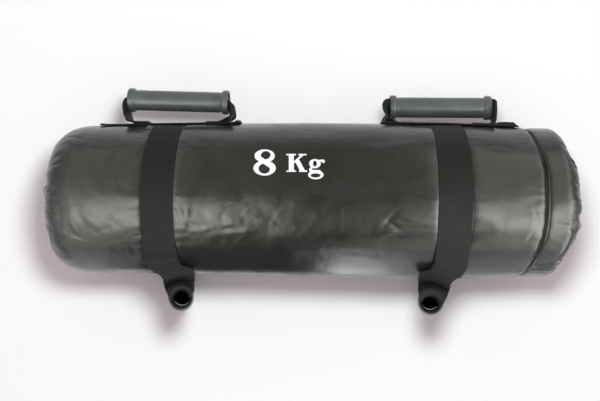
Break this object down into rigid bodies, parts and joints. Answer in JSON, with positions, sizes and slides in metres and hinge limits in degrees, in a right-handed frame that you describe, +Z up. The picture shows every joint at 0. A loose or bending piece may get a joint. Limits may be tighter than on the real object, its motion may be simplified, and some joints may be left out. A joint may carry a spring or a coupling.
{
  "type": "weighted training bag",
  "caption": "Cylindrical weighted training bag with webbing rings, loose tube grips on webbing loops and a zipped end cap.",
  "frame": {"origin": "on the floor, at the flat underside, under the middle of the bag's length", "axes": "+X along the bag from the plain end to the zipped end, +Y to the side with the two long grips, +Z up"},
  "size_m": [0.62, 0.2852, 0.1906],
  "materials": {
    "coated_fabric": "gloss",
    "webbing": "matte",
    "grip_rubber": "satin",
    "zip_tape": "matte",
    "zip_coil": "satin",
    "slider_metal": "satin",
    "foam": "matte",
    "liner_film": "satin",
    "sand": "matte",
    "tie_cord": "matte"
  },
  "bodies": {
    "bag": {"shell_body": "coated_fabric", "end_panel_left": "coated_fabric", "zip_tape_body": "zip_tape", "zip_coil_body": "zip_coil", "cap_hinge_tab": "coated_fabric", "filler_sleeve": "foam", "filler_pad_left": "foam", "filler_pad_right": "foam", "sand_liner_left": "liner_film", "sand_liner_right": "liner_film", "sand_left": "sand", "sand_right": "sand", "liner_tie_left": "tie_cord", "liner_tie_right": "tie_cord", "ring_strap_left": "webbing", "ring_strap_right": "webbing", "base_strap_left": "webbing", "base_strap_right": "webbing", "anchor_patch_left_upper": "webbing", "anchor_patch_left_lower": "webbing", "anchor_patch_right_upper": "webbing", "anchor_patch_right_lower": "webbing"},
    "cap": {"cap_shell": "coated_fabric", "end_panel_right": "coated_fabric", "zip_tape_cap": "zip_tape", "zip_coil_cap": "zip_coil", "cap_pad": "foam"},
    "slider": {"zip_slider": "slider_metal"},
    "pull": {"zip_pull": "slider_metal"},
    "loop_far_left": {"handle_web_far_left": "webbing"},
    "tube_far_left": {"grip_far_left": "grip_rubber"},
    "loop_far_right": {"handle_web_far_right": "webbing"},
    "tube_far_right": {"grip_far_right": "grip_rubber"},
    "loop_near_left": {"handle_web_near_left": "webbing"},
    "tube_near_left": {"grip_near_left": "grip_rubber"},
    "loop_near_right": {"handle_web_near_right": "webbing"},
    "tube_near_right": {"grip_near_right": "grip_rubber"}
  },
  "joints": [
    {"name": "far_left_swing", "type": "hinge", "parent": "bag", "child": "loop_far_left", "pos_m": [-0.167, 0.09922, 0.08893], "axis": [1, 0, 0], "range_deg": [-55, 55]},
    {"name": "far_left_spin", "type": "hinge", "parent": "loop_far_left", "child": "tube_far_left", "pos_m": [-0.167, 0.12222, 0.08893], "axis": [0.9997, -0.0227, 0], "continuous": true},
    {"name": "far_right_swing", "type": "hinge", "parent": "bag", "child": "loop_far_right", "pos_m": [0.159, 0.10048, 0.09043], "axis": [1, 0, 0], "range_deg": [-13, 97]},
    {"name": "far_right_spin", "type": "hinge", "parent": "loop_far_right", "child": "tube_far_right", "pos_m": [0.159, 0.11757, 0.07504], "axis": [1, 0, 0], "continuous": true},
    {"name": "near_left_swing", "type": "hinge", "parent": "bag", "child": "loop_near_left", "pos_m": [-0.173, -0.06691, 0.08881], "axis": [0, 0, 1], "range_deg": [-57.5, 30]},
    {"name": "near_left_spin", "type": "hinge", "parent": "loop_near_left", "child": "tube_near_left", "pos_m": [-0.16252, -0.12345, 0.08381], "axis": [0.179, 0.1236, 0.976], "continuous": true},
    {"name": "near_right_swing", "type": "hinge", "parent": "bag", "child": "loop_near_right", "pos_m": [0.161, -0.06799, 0.09039], "axis": [0, 0, 1], "range_deg": [-27.5, 59.5]},
    {"name": "near_right_spin", "type": "hinge", "parent": "loop_near_right", "child": "tube_near_right", "pos_m": [0.14807, -0.12401, 0.08539], "axis": [-0.131, 0.125, 0.9835], "continuous": true},
    {"name": "cap_open", "type": "hinge", "parent": "bag", "child": "cap", "pos_m": [0.263, 0.08052, 0.04438], "axis": [0, 0.4695, 0.8829], "range_deg": [0, 85]},
    {"name": "zip_travel", "type": "hinge", "parent": "bag", "child": "slider", "pos_m": [0.263, 0, 0.0872], "axis": [1, 0, 0], "range_deg": [-290, 0]},
    {"name": "pull_swing", "type": "hinge", "parent": "slider", "child": "pull", "pos_m": [0.263, 0.04797, 0.00411], "axis": [1, 0, 0], "range_deg": [0, 165]}
  ]
}
